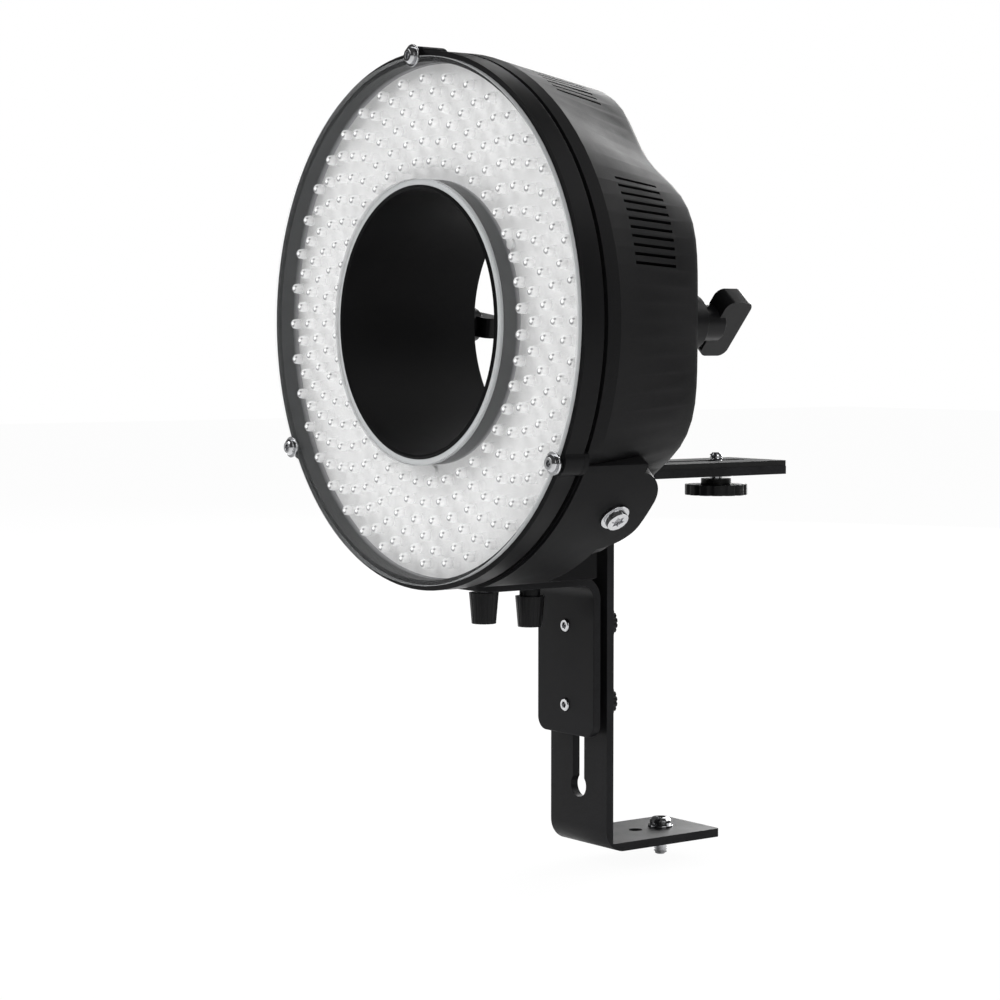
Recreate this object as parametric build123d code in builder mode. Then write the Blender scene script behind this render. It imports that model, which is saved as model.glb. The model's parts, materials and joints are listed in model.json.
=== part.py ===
"""LED ring light on its stand bracket, one STEP file for each piece.

Millimetres, +Z up, the light faces -Y. The origin is on the underside of the foot,
on the axis of the screw that holds it to a stand.
"""

import math
import os

from build123d import *

os.makedirs("parts", exist_ok=True)

# Layout of the head against the bracket
axis_height = 241.8  # ring axis above the underside of the foot
face_setback = 142.0  # face plate front ahead of the stand screw
head_depth = 75.0  # face plate front to the rear of the housing
fit = 0.05  # radial running clearance of a turning or sliding piece
ease = 0.15  # gap round a piece that is dropped into its place

# Face plate, bezel and sleeve
plate_inset = 2.2  # edge of the plate inside the rim
plate_thickness = 2.5
rim_radius = 117.2
rim_wall = 4.6
bezel_back = 12.3
groove_width = 2.0
boss_radius = 5.6
screw_inset = 1.9
screw_angles = (90, 210, 330)
face_screw_radius = 2.0
face_head_radius = 3.7
face_head_height = 2.2
face_socket_radius = 1.6
washer_radius = 4.9
washer_thickness = 0.8
sleeve_width = 2.5
sleeve_front = 1.4

# Bore tube
tube_radius = 57.8
tube_wall = 1.9
tube_front = 0.3
tube_lip = 0.9

# Lamp board
board_front = 11.6
board_thickness = 1.6
lamp_rings = (70.0, 78.7, 86.7, 93.3, 100.0, 105.7)
lamps_per_ring = 40
lamp_radius = 2.5
lamp_tip = 3.7
lamp_sides = 6
spreader_thickness = 1.5
post_angles = (30, 150, 270)
post_radius = 3.0
board_screw_radius = 1.25
board_head_radius = 2.2
board_head_height = 1.5
board_screw_length = 8.0

# Rear housing: round behind the lip, four-lobed at the back
lip_back = 21.0
shell = 2.8
rear_inset = 11.8  # mean outline of the rear inside the rim
lobe_terms = ((4, 1.43), (8, -3.5), (12, 0.72))
outline_points = 96
rear_round = 3.0
round_share = 0.3
spigot_reach = 1.2
vent_first = 12.1
vent_pitch = 1.9
vent_count = 11
vent_width = 1.3
vent_reach = 34.0
vent_front = 33.0
vent_back = 59.0
vent_groups = ((0, 1), (90, -1), (90, 1), (180, -1))

# Cradle under the ring
cradle_front = 14.9
cradle_wall = 1.3  # cradle beyond the rim
cradle_back = 48.0
band_half_angle = 60.0
lug_angles = (-43.5, -136.5)
lug_half_width = 24.0
lug_back = 61.0
lug_corner = 17.0
block_half_width = 34.6
saddle_front_inset = 4.3
saddle_rear_inset = 21.2
cradle_bolt_depth = 43.0
bolt_head_radius = 4.9
bolt_head_height = 2.6
bolt_flange_radius = 6.6
bolt_flange_height = 1.4
bolt_length = 20.0
flange_recess = 0.3
bolt_tip_room = 2.2
bolt_insert_length = 7.5
bolt_socket_radius = 3.3
recess_depth = 1.5
insert_wall = 1.6
insert_length = 6.5
wing_insert_length = 12.0

# Brackets, bent from one width of steel strip
strip_width = 41.5
strip = 4.0
bend_inside = 6.5
stand_front = 92.3  # depth behind the face of the upright's front
camera_rear = 203.0
foot_rear = 161.0
camera_underside = 71.4  # below the ring axis
slot_width = 8.2
slot_top = -112.0
slot_bottom = -213.0
slot_end_radius = 5.5
camera_slot_front = 122.0
camera_slot_back = 190.0
spare_hole_depth = 126.6
end_round = 1.5

# Bracket between cradle and upright
leg_rise = 4.3  # top of the leg above the lowest line of the cradle
leg_front = 24.6
leg_corner = 9.0
upright_front = 84.5
upright_drop = 74.0
upright_corner = 6.0

# Thumb knobs and their studs
stud_radius = 3.0
base_knob_depths = (38.1, 64.0)
base_knob_gaps = (0.5, 3.6)
base_collar_radius = 4.75
base_knob_length = 13.9
base_knob_radius = 6.7
base_knob_small = 5.5
base_washer = 1.6
knob_flute = 0.7
base_flutes = 16
clamp_drops = (24.0, 60.6)
clamp_knob_radius = 7.1
clamp_knob_back = 110.0
clamp_washer = 1.2
clamp_washer_radius = 8.5
spacer_radius = 6.5
stud_tip = 0.9

# Camera screw and pad
pad_thickness = 2.5
camera_depth = 176.0
thread_radius = 3.17  # quarter-inch screws of camera and stand
neck_radius = 2.8  # unthreaded neck inside the plate or the foot
camera_stud_above = 3.7
camera_knob_radius = 14.9
camera_knob_top = -76.4
camera_knob_thickness = 4.9
camera_hub_radius = 7.2
camera_hub_height = 2.8
camera_flutes = 14
camera_washer_radius = 8.0
camera_washer = 1.0

# Stand screw in the foot
stand_washer_radius = 5.9
stand_washer_thickness = 0.8
stand_head_radius = 5.0
stand_head_height = 3.6
stand_screw_below = 9.0

# Wing screws on the rear wall
wing_inset = 17.4
wing_skirt_radius = 12.2
wing_skirt = 8.0
wing_cone = 3.0
wing_hub_radius = 8.1
wing_hub_back = 97.0
wing_front = 93.0
wing_back = 107.8
wing_half_length = 15.0
wing_thickness = 9.6
wing_tilt = 41.0
wing_tilt_left = 82.0
wing_corner = 4.0

# Controls and driver behind the lamp board
dial_angle = 135.0
rocker_angle = 45.0
inlet_angle = 225.0
control_inset = 25.4
dial_radius = 9.0
dial_height = 11.0
dial_flutes = 20
dial_mark = 0.8
shaft_radius = 3.0
pot_radius = 8.0
pot_length = 9.0
rocker_width = 12.6
rocker_height = 18.6
rocker_bezel = 1.2
rocker_body = 13.0
rocker_tall = 6.0
rocker_play = 1.0
rocker_dish = 1.6
inlet_radius = 5.4
inlet_bore = 2.8
inlet_pin = 1.0
inlet_length = 12.0
inlet_flange = 7.4
driver_width = 62.0
driver_height = 26.0
driver_inset = 23.4
driver_depth = 60.0
driver_margin = 4.0
choke_width = 16.0
choke_height = 12.0
capacitor_radius = 5.0
capacitor_height = 18.0

# Sizes that follow from those above
board_back = board_front + board_thickness
bore_wall_radius = rim_radius - rim_wall
plate_radius = rim_radius - plate_inset
screw_circle = rim_radius - screw_inset
rear_radius = rim_radius - rear_inset
cradle_radius = rim_radius + cradle_wall
saddle_front_radius = rim_radius - saddle_front_inset
saddle_rear_radius = rim_radius - saddle_rear_inset
bolt_seat = cradle_radius - flange_recess
bolt_post_radius = bolt_seat - bolt_length - bolt_tip_room
wing_offset = rear_radius - wing_inset
control_circle = rear_radius - control_inset
driver_middle = rear_radius - driver_inset
leg_top = cradle_radius - leg_rise  # below the ring axis
upright_bottom = -leg_top - upright_drop
clamp_heights = [-leg_top - drop for drop in clamp_drops]
base_knob_tops = [-leg_top - strip - base_washer - gap for gap in base_knob_gaps]
lip_front = bezel_back + groove_width
tube_outside = tube_radius + tube_wall
sleeve_outside = tube_outside + sleeve_width
post_circle = sleeve_outside + post_radius
rings_in_rim = [ring for ring in lamp_rings if ring + lamp_radius < bore_wall_radius]
rear_wall_inside = head_depth - shell
stand_back = stand_front + strip
upright_back = upright_front + strip
camera_top = strip - camera_underside
housing_boss_radius = stud_radius + insert_wall + shell
foot_top = strip - axis_height


def facing(depth, across=0.0, up=0.0):
    """Plane across the ring axis at a depth behind the face, drawn as seen from the front."""
    middle = (across, depth - face_setback, axis_height + up)
    return Plane(middle, x_dir=(1, 0, 0), z_dir=(0, -1, 0))


def level(up, depth=face_setback):
    """Horizontal plane at a height against the ring axis, centred at a depth."""
    return Plane.XY.offset(axis_height + up).shift_origin((0, depth - face_setback, axis_height + up))


def polar(radius, angle):
    """Point on the face at a radius and an angle from +X."""
    return (radius * math.cos(math.radians(angle)), radius * math.sin(math.radians(angle)))


def outline(inset, lobed):
    """Closed ring of points: a circle, or the four-lobed outline of the rear."""
    points = []
    for step in range(outline_points):
        angle = step * 360 / outline_points
        radius = rim_radius
        if lobed:
            radius = rear_radius
            for order, height in lobe_terms:
                radius += height * math.cos(math.radians(order * angle))
        points.append(polar(radius - inset, angle))
    return points


def tub(sections):
    """Ruled loft through outlines given as depth, inset and whether the outline is lobed."""
    with BuildPart() as body:
        for depth, inset, lobed in sections:
            with BuildSketch(facing(depth)):
                with BuildLine():
                    Polyline(*outline(inset, lobed), close=True)
                make_face()
        loft(ruled=True)
    return body.part


def ring_section(angle):
    """Plane through the ring axis: local x is the radius, local y the depth behind the face."""
    rise = math.radians(angle)
    across = (math.cos(rise), 0, math.sin(rise))
    return Plane((0, -face_setback, axis_height), x_dir=across, z_dir=(-math.sin(rise), 0, math.cos(rise)))


def outward(angle, depth, radius):
    """Plane that faces away from the ring axis at a radius, local x along the depth."""
    across, up = polar(radius, angle)
    middle = (across, depth - face_setback, axis_height + up)
    return Plane(middle, x_dir=(0, 1, 0), z_dir=(across, 0, up))


def saddle(grow, reach):
    """Room that the cradle takes in the housing: band, two lugs and block, outside the cone."""
    half = band_half_angle + math.degrees(grow / cradle_radius)
    with BuildPart() as room:
        with BuildSketch(facing(cradle_front)):
            Rectangle(4 * reach, 4 * reach)
        extrude(amount=cradle_front - cradle_back - grow)
        for angle in lug_angles:
            with BuildSketch(outward(angle, cradle_front, saddle_rear_radius / 2)):
                lug_run = lug_back + grow - cradle_front
                RectangleRounded(2 * lug_run, 2 * (lug_half_width + grow), lug_corner)
            extrude(amount=reach)
        with BuildSketch(facing(cradle_front)):
            with Locations((0, -2 * reach)):
                Rectangle(2 * (block_half_width + grow), 4 * reach)
        extrude(amount=cradle_front - head_depth)
        with BuildPart(mode=Mode.PRIVATE) as collar:
            with BuildSketch(ring_section(-90 - half)):
                with BuildLine():
                    Polyline(
                        (saddle_front_radius - grow, cradle_front),
                        (reach, cradle_front),
                        (reach, head_depth),
                        (saddle_rear_radius - grow, head_depth),
                        close=True,
                    )
                make_face()
            revolve(axis=Axis((0, 0, axis_height), (0, -1, 0)), revolution_arc=2 * half)
        add(collar.part, mode=Mode.INTERSECT)
    return room.part


def fluted(radius, flutes, depth):
    """Circle with V-shaped flutes, for a knob that is gripped."""
    Circle(radius)
    with PolarLocations(radius + depth * 0.6, flutes):
        RegularPolygon(depth * 1.6, 4, mode=Mode.SUBTRACT)


def save(part, label):
    """Label one piece and write its STEP file."""
    part.label = label
    export_step(part, "parts/" + label + ".step")


# Stand bracket: foot, upright with its slot, and camera plate
with BuildPart() as stand_bracket:
    with BuildSketch(Plane.YZ) as strip_side:
        with BuildLine():
            foot_end = foot_rear - face_setback
            plate_end = camera_rear - face_setback
            front = stand_front - face_setback
            back = stand_back - face_setback
            top = axis_height + camera_top
            Polyline(
                (foot_end, 0),
                (front, 0),
                (front, top),
                (plate_end, top),
                (plate_end, top - strip),
                (back, top - strip),
                (back, strip),
                (foot_end, strip),
                close=True,
            )
        make_face()
        fillet(strip_side.vertices().group_by(Axis.X)[0], bend_inside + strip)
        fillet(strip_side.vertices().filter_by(lambda v: abs(v.X) < fit and abs(v.Y - back) < fit), bend_inside)
    extrude(amount=strip_width / 2, both=True)
    ends = stand_bracket.edges().filter_by(Axis.Z).filter_by(lambda e: e.center().Y > foot_end - fit)
    fillet(ends, end_round)
    with BuildSketch(facing(stand_front)):
        with Locations((0, (slot_top + slot_bottom) / 2)):
            SlotCenterToCenter(slot_top - slot_bottom, slot_width, rotation=90)
        with Locations((0, slot_bottom)):
            Circle(slot_end_radius)
    extrude(amount=-strip, mode=Mode.SUBTRACT)
    with BuildSketch(level(camera_top, (camera_slot_front + camera_slot_back) / 2)):
        SlotCenterToCenter(camera_slot_back - camera_slot_front, 2 * (thread_radius + ease), rotation=90)
    extrude(amount=-strip, mode=Mode.SUBTRACT)
    with BuildSketch(Plane.XY):
        with Locations((0, 0), (0, spare_hole_depth - face_setback)):
            Circle(stud_radius + 2 * ease)
    extrude(amount=strip, mode=Mode.SUBTRACT)
save(stand_bracket.part, "stand_bracket")

# Rubber pad glued on the camera plate
with BuildPart() as camera_pad:
    pad_front = stand_back + bend_inside
    with BuildSketch(level(camera_top, (pad_front + camera_rear - ease) / 2)):
        RectangleRounded(strip_width - 2 * ease, camera_rear - ease - pad_front, end_round)
        with Locations((0, (camera_slot_front + camera_slot_back - pad_front - camera_rear + ease) / 2)):
            slot_run = camera_slot_back - camera_slot_front
            SlotCenterToCenter(slot_run, 2 * (thread_radius + 2 * ease), rotation=90, mode=Mode.SUBTRACT)
    extrude(amount=pad_thickness)
save(camera_pad.part, "camera_pad")

# Camera screw: stud, fluted knob with its hub, and the washer that slides with it
with BuildPart() as camera_stud:
    stud_foot = camera_knob_top - camera_knob_thickness / 2
    with BuildSketch(level(stud_foot, camera_depth)):
        Circle(neck_radius)
    extrude(amount=camera_top + pad_thickness - stud_foot)
    with BuildSketch(level(camera_top + pad_thickness, camera_depth)):
        Circle(thread_radius)
    extrude(amount=camera_stud_above)
    chamfer(camera_stud.faces().sort_by(Axis.Z)[-1].edges(), thread_radius / 4)
save(camera_stud.part, "camera_stud")

with BuildPart() as camera_knob:
    with BuildSketch(level(camera_knob_top, camera_depth)):
        fluted(camera_knob_radius, camera_flutes, 2 * knob_flute)
    extrude(amount=-camera_knob_thickness)
    with BuildSketch(level(camera_knob_top, camera_depth)):
        Circle(camera_hub_radius)
    extrude(amount=camera_hub_height)
    with BuildSketch(level(stud_foot, camera_depth)):
        Circle(neck_radius)
    extrude(amount=camera_knob_thickness + camera_hub_height, mode=Mode.SUBTRACT)
save(camera_knob.part, "camera_knob")

with BuildPart() as camera_slide_washer:
    with BuildSketch(level(-camera_underside - fit, camera_depth)):
        Circle(camera_washer_radius)
        Circle(neck_radius + fit, mode=Mode.SUBTRACT)
    extrude(amount=-camera_washer)
save(camera_slide_washer.part, "camera_slide_washer")

# Stand screw and washer on the foot
with BuildPart() as stand_washer:
    with BuildSketch(Plane.XY.offset(strip)):
        Circle(stand_washer_radius)
        Circle(thread_radius + ease, mode=Mode.SUBTRACT)
    extrude(amount=stand_washer_thickness)
save(stand_washer.part, "stand_washer")

with BuildPart() as stand_screw:
    head_base = strip + stand_washer_thickness
    with BuildSketch(Plane.XY.offset(head_base)):
        Circle(stand_head_radius)
    extrude(amount=stand_head_height)
    chamfer(stand_screw.faces().sort_by(Axis.Z)[-1].edges(), stand_head_height / 3)
    with BuildSketch(Plane.XY.offset(head_base + stand_head_height)):
        Rectangle(stand_head_radius, stand_head_height / 4)
        Rectangle(stand_head_height / 4, stand_head_radius)
    extrude(amount=-stand_head_height / 2, mode=Mode.SUBTRACT)
    with BuildSketch(Plane.XY):
        Circle(neck_radius)
    extrude(amount=head_base)
    with BuildSketch(Plane.XY.offset(-stand_screw_below)):
        Circle(thread_radius)
    extrude(amount=stand_screw_below)
    chamfer(stand_screw.faces().sort_by(Axis.Z)[0].edges(), thread_radius / 4)
save(stand_screw.part, "stand_screw")

# Bent bracket between cradle and upright
with BuildPart() as l_bracket:
    with BuildSketch(Plane.YZ) as leg_side:
        with BuildLine():
            front = leg_front - face_setback
            inner = upright_front - face_setback
            outer = upright_back - face_setback
            top = axis_height - leg_top
            low = axis_height + upright_bottom
            Polyline(
                (front, top),
                (outer, top),
                (outer, low),
                (inner, low),
                (inner, top - strip),
                (front, top - strip),
                close=True,
            )
        make_face()
        fillet(leg_side.vertices().filter_by(lambda v: v.X > inner + fit and v.Y > top - fit), bend_inside + strip)
        fillet(leg_side.vertices().filter_by(lambda v: abs(v.X - inner) < fit and v.Y > low + strip), bend_inside)
    extrude(amount=strip_width / 2, both=True)
    fillet(l_bracket.edges().filter_by(Axis.Z).group_by(Axis.Y)[0], leg_corner)
    fillet(l_bracket.edges().filter_by(Axis.Y).group_by(Axis.Z)[0], upright_corner)
    with BuildSketch(level(-leg_top)):
        with Locations(*[(0, depth - face_setback) for depth in base_knob_depths]):
            Circle(stud_radius + fit)
    extrude(amount=-strip, mode=Mode.SUBTRACT)
    with BuildSketch(facing(upright_front)):
        with Locations(*[(0, height) for height in clamp_heights]):
            Circle(stud_radius + fit)
    extrude(amount=-strip, mode=Mode.SUBTRACT)
save(l_bracket.part, "l_bracket")

# Washers under the leg
with BuildPart() as base_washers:
    with BuildSketch(level(-leg_top - strip)):
        with Locations(*[(0, depth - face_setback) for depth in base_knob_depths]):
            Circle(stud_radius + insert_wall)
            Circle(stud_radius + fit, mode=Mode.SUBTRACT)
    extrude(amount=-base_washer)
save(base_washers.part, "base_washers")


def base_stud(index):
    """Steel stud of one thumb knob, up through the leg into the cradle."""
    middle = base_knob_tops[index] - base_knob_length / 2
    with BuildPart() as stud:
        with BuildSketch(level(middle, base_knob_depths[index])):
            Circle(stud_radius)
        extrude(amount=insert_length - leg_top - middle)
        chamfer(stud.faces().sort_by(Axis.Z)[-1].edges(), stud_radius / 4)
    return stud.part


def base_knob(index):
    """Tapered fluted thumb knob, bored blind for its stud."""
    top = base_knob_tops[index]
    with BuildPart() as knob:
        with BuildSketch(level(top, base_knob_depths[index])):
            fluted(base_knob_radius, base_flutes, knob_flute / 2)
        with BuildSketch(level(top - base_knob_length, base_knob_depths[index])):
            fluted(base_knob_small, base_flutes, knob_flute / 2)
        loft()
        collar = base_knob_gaps[index] - min(base_knob_gaps)
        if collar:
            with BuildSketch(level(top, base_knob_depths[index])):
                Circle(base_collar_radius)
            extrude(amount=collar)
        with BuildSketch(level(top - base_knob_length / 2, base_knob_depths[index])):
            Circle(stud_radius)
        extrude(amount=base_knob_length, mode=Mode.SUBTRACT)
    return knob.part


save(base_stud(0), "base_stud_front")
save(base_stud(1), "base_stud_rear")
save(base_knob(0), "base_knob_front")
save(base_knob(1), "base_knob_rear")

# Shouldered spacers that ride in the slot, and the washers behind it
with BuildPart() as clamp_spacers:
    for height in clamp_heights:
        with BuildSketch(facing(upright_back, up=height)):
            Circle(spacer_radius)
        extrude(amount=upright_back - stand_front + fit)
        with BuildSketch(facing(stand_front - fit, up=height)):
            Circle(slot_width / 2 - fit)
        extrude(amount=-strip)
        with BuildSketch(facing(upright_back, up=height)):
            Circle(stud_radius + fit)
        extrude(amount=upright_back - stand_back, mode=Mode.SUBTRACT)
save(clamp_spacers.part, "clamp_spacers")

with BuildPart() as clamp_washers:
    with BuildSketch(facing(stand_back + fit)):
        with Locations(*[(0, height) for height in clamp_heights]):
            Circle(clamp_washer_radius)
            Circle(stud_radius + fit, mode=Mode.SUBTRACT)
    extrude(amount=-clamp_washer)
save(clamp_washers.part, "clamp_washers")


def clamp_stud(height):
    """Steel stud of one clamp knob, forward through the slot into the bent bracket."""
    reach = (stand_back + clamp_knob_back) / 2
    with BuildPart() as stud:
        with BuildSketch(facing(reach, up=height)):
            Circle(stud_radius)
        extrude(amount=reach - upright_front + stud_tip)
        chamfer(stud.faces().sort_by(Axis.Y)[0].edges(), stud_tip / 2)
        with BuildSketch(facing(upright_front - stud_tip, up=height)):
            RegularPolygon(face_socket_radius, 6)
        extrude(amount=-recess_depth, mode=Mode.SUBTRACT)
    return stud.part


def clamp_knob(height):
    """Knurled knob behind the upright, bored blind for its stud."""
    seat = stand_back + 2 * fit + clamp_washer
    with BuildPart() as knob:
        with BuildSketch(facing(seat, up=height)):
            fluted(clamp_knob_radius, base_flutes, knob_flute)
        extrude(amount=seat - clamp_knob_back)
        chamfer(knob.faces().sort_by(Axis.Y)[-1].edges(), knob_flute / 2)
        with BuildSketch(facing(seat, up=height)):
            Circle(stud_radius)
        extrude(amount=seat - (stand_back + clamp_knob_back) / 2, mode=Mode.SUBTRACT)
    return knob.part


save(clamp_stud(clamp_heights[0]), "clamp_stud_upper")
save(clamp_stud(clamp_heights[1]), "clamp_stud_lower")
save(clamp_knob(clamp_heights[0]), "clamp_knob_upper")
save(clamp_knob(clamp_heights[1]), "clamp_knob_lower")

# Cradle: saddle band, two lugs and the block that stands on the leg
with BuildPart() as base_cradle:
    add(saddle(0, cradle_radius))
    with BuildSketch(facing(0)):
        with Locations((0, cradle_radius - leg_top)):
            Rectangle(4 * cradle_radius, 2 * cradle_radius)
    extrude(amount=-2 * head_depth, mode=Mode.INTERSECT)
    with BuildSketch(level(-leg_top)):
        with Locations(*[(0, depth - face_setback) for depth in base_knob_depths]):
            Circle(stud_radius + insert_wall)
    extrude(amount=insert_length, mode=Mode.SUBTRACT)
    for angle in lug_angles:
        with BuildSketch(outward(angle, cradle_bolt_depth, bolt_seat)):
            Circle(bolt_flange_radius + ease)
        extrude(amount=cradle_radius - bolt_seat + fit, mode=Mode.SUBTRACT)
        with BuildSketch(outward(angle, cradle_bolt_depth, bolt_seat)):
            Circle(stud_radius + ease)
        extrude(amount=-bolt_length, mode=Mode.SUBTRACT)
save(base_cradle.part, "base_cradle")

# Brass inserts moulded into the block for the thumb knobs
with BuildPart() as base_inserts:
    with BuildSketch(level(-leg_top)):
        with Locations(*[(0, depth - face_setback) for depth in base_knob_depths]):
            Circle(stud_radius + insert_wall)
            Circle(stud_radius + fit, mode=Mode.SUBTRACT)
    extrude(amount=insert_length)
save(base_inserts.part, "base_inserts")

# Flanged bolts that hold the cradle to the housing, with a cross recess
with BuildPart() as cradle_bolts:
    for angle in lug_angles:
        with BuildSketch(outward(angle, cradle_bolt_depth, bolt_seat)):
            Circle(bolt_flange_radius)
        extrude(amount=bolt_flange_height)
        with BuildSketch(outward(angle, cradle_bolt_depth, bolt_seat + bolt_flange_height)):
            Circle(bolt_head_radius)
        extrude(amount=bolt_head_height)
        with BuildSketch(outward(angle, cradle_bolt_depth, bolt_seat + bolt_flange_height + bolt_head_height)):
            RegularPolygon(bolt_socket_radius, 3)
            RegularPolygon(bolt_socket_radius, 3, rotation=180)
        extrude(amount=-recess_depth, mode=Mode.SUBTRACT)
        with BuildSketch(outward(angle, cradle_bolt_depth, bolt_seat)):
            Circle(stud_radius)
        extrude(amount=-bolt_length)
save(cradle_bolts.part, "cradle_bolts")

# Rear housing: moulded tub with its lip, spigot, bosses, lobes and vents
with BuildPart() as rear_housing:
    round_start = head_depth - rear_round
    round_middle = head_depth - rear_round * round_share
    add(tub((
        (lip_front, 0, False),
        (lip_back, 0, False),
        (round_start, 0, True),
        (round_middle, rear_round * round_share, True),
        (head_depth, rear_round, True),
    )))
    with BuildSketch(facing(board_back)):
        Circle(bore_wall_radius - ease)
    extrude(amount=board_back - lip_front)
    add(saddle(0, 2 * rim_radius), mode=Mode.SUBTRACT)
    with BuildSketch(facing(bezel_back)):
        with Locations(*[polar(screw_circle, angle) for angle in screw_angles]):
            Circle(boss_radius)
        Circle(bore_wall_radius - ease, mode=Mode.SUBTRACT)
    extrude(amount=bezel_back - cradle_front)
    with BuildPart(mode=Mode.PRIVATE) as cavity:
        add(tub((
            (lip_front + spigot_reach, shell, False),
            (lip_back, shell, False),
            (rear_wall_inside, shell, True),
        )))
        add(saddle(shell, 2 * rim_radius), mode=Mode.SUBTRACT)
        with BuildSketch(facing(bezel_back)):
            Circle(bore_wall_radius - shell)
        extrude(amount=bezel_back - lip_back)
    add(cavity.part, mode=Mode.SUBTRACT)
    with BuildSketch(facing(rear_wall_inside)):
        with Locations(*[(side * wing_offset, 0) for side in (-1, 1)]):
            Circle(housing_boss_radius)
    extrude(amount=wing_insert_length - shell)
    with BuildPart(mode=Mode.PRIVATE) as bolt_posts:
        for angle in lug_angles:
            with BuildSketch(outward(angle, cradle_bolt_depth, bolt_post_radius)):
                Circle(housing_boss_radius)
            extrude(amount=housing_boss_radius * 2)
        add(saddle(0, 2 * rim_radius), mode=Mode.SUBTRACT)
    add(bolt_posts.part)
    for angle in lug_angles:
        with BuildSketch(outward(angle, cradle_bolt_depth, bolt_post_radius)):
            Circle(stud_radius + insert_wall)
        extrude(amount=2 * housing_boss_radius, mode=Mode.SUBTRACT)
    with BuildSketch(facing(head_depth)):
        Circle(tube_outside)
        with Locations(*[(side * wing_offset, 0) for side in (-1, 1)]):
            Circle(stud_radius + insert_wall)
        with Locations(polar(control_circle, dial_angle)):
            Circle(shaft_radius + ease)
        with Locations(polar(control_circle, rocker_angle)):
            Rectangle(rocker_width, rocker_height)
        with Locations(polar(control_circle, inlet_angle)):
            Circle(inlet_radius)
    extrude(amount=wing_insert_length, mode=Mode.SUBTRACT)
    with BuildSketch(facing(vent_front)):
        for start, turn in vent_groups:
            for slot in range(vent_count):
                angle = start + turn * (vent_first + slot * vent_pitch)
                with Locations(Location((*polar(rim_radius, angle), 0), (0, 0, angle))):
                    Rectangle(vent_reach, vent_width)
    extrude(amount=vent_front - vent_back, mode=Mode.SUBTRACT)
    with BuildSketch(facing(bezel_back)):
        with Locations(*[polar(screw_circle, angle) for angle in screw_angles]):
            Circle(face_screw_radius)
    extrude(amount=bezel_back - cradle_front, mode=Mode.SUBTRACT)
save(rear_housing.part, "rear_housing")

# Brass inserts in the housing for the wing screws and the cradle bolts
with BuildPart() as housing_inserts:
    with BuildSketch(facing(head_depth)):
        with Locations(*[(side * wing_offset, 0) for side in (-1, 1)]):
            Circle(stud_radius + insert_wall)
            Circle(stud_radius + fit, mode=Mode.SUBTRACT)
    extrude(amount=wing_insert_length)
    for angle in lug_angles:
        with BuildSketch(outward(angle, cradle_bolt_depth, bolt_post_radius)):
            Circle(stud_radius + insert_wall)
            Circle(stud_radius, mode=Mode.SUBTRACT)
        extrude(amount=bolt_insert_length)
save(housing_inserts.part, "housing_inserts")

# Front bezel: rim, inner wall and the bosses of the face screws
with BuildPart() as front_bezel:
    with BuildSketch(facing(plate_thickness)):
        Circle(rim_radius)
        with Locations(*[polar(screw_circle, angle) for angle in screw_angles]):
            Circle(boss_radius)
        Circle(bore_wall_radius, mode=Mode.SUBTRACT)
        with Locations(*[polar(screw_circle, angle) for angle in screw_angles]):
            Circle(face_screw_radius + ease, mode=Mode.SUBTRACT)
    extrude(amount=plate_thickness - bezel_back)
save(front_bezel.part, "front_bezel")

# Clear face plate, notched for its screws
with BuildPart() as face_plate:
    with BuildSketch(facing(0)):
        Circle(plate_radius)
        Circle(sleeve_outside + ease, mode=Mode.SUBTRACT)
        with Locations(*[polar(screw_circle, angle) for angle in screw_angles]):
            Circle(face_screw_radius + ease, mode=Mode.SUBTRACT)
    extrude(amount=-plate_thickness)
save(face_plate.part, "face_plate")

with BuildPart() as face_washers:
    with BuildSketch(facing(0)):
        with Locations(*[polar(screw_circle, angle) for angle in screw_angles]):
            Circle(washer_radius)
            Circle(face_screw_radius + ease, mode=Mode.SUBTRACT)
    extrude(amount=washer_thickness)
save(face_washers.part, "face_washers")

with BuildPart() as face_screws:
    head_seat = -washer_thickness
    with BuildSketch(facing(head_seat)):
        with Locations(*[polar(screw_circle, angle) for angle in screw_angles]):
            Circle(face_head_radius)
    extrude(amount=face_head_height)
    chamfer(face_screws.faces().sort_by(Axis.Y)[:3].edges(), face_head_height / 2)
    with BuildSketch(facing(head_seat - face_head_height)):
        with Locations(*[polar(screw_circle, angle) for angle in screw_angles]):
            RegularPolygon(face_socket_radius, 6)
    extrude(amount=-recess_depth, mode=Mode.SUBTRACT)
    with BuildSketch(facing(head_seat)):
        with Locations(*[polar(screw_circle, angle) for angle in screw_angles]):
            Circle(face_screw_radius)
    extrude(amount=head_seat - cradle_front)
save(face_screws.part, "face_screws")

# White sleeve that closes the inner edge of the lamp field
with BuildPart() as sleeve_ring:
    with BuildSketch(facing(sleeve_front)):
        Circle(sleeve_outside)
        Circle(tube_outside, mode=Mode.SUBTRACT)
    extrude(amount=sleeve_front - board_front)
save(sleeve_ring.part, "sleeve_ring")

# Tube through the middle, with a rounded front lip
with BuildPart() as bore_tube:
    with BuildSketch(facing(tube_front)):
        Circle(tube_outside)
        Circle(tube_radius, mode=Mode.SUBTRACT)
    extrude(amount=tube_front - head_depth)
    chamfer(bore_tube.faces().sort_by(Axis.Y)[0].edges(), tube_lip)
save(bore_tube.part, "bore_tube")

# Lamp board, lamps, and the aluminium plate behind them
with BuildPart() as lamp_board:
    with BuildSketch(facing(board_front)):
        Circle(bore_wall_radius - 2 * ease)
        Circle(sleeve_outside, mode=Mode.SUBTRACT)
        with Locations(*[polar(post_circle, angle) for angle in post_angles]):
            Circle(board_screw_radius + ease, mode=Mode.SUBTRACT)
    extrude(amount=-board_thickness)
save(lamp_board.part, "lamp_board")

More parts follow.
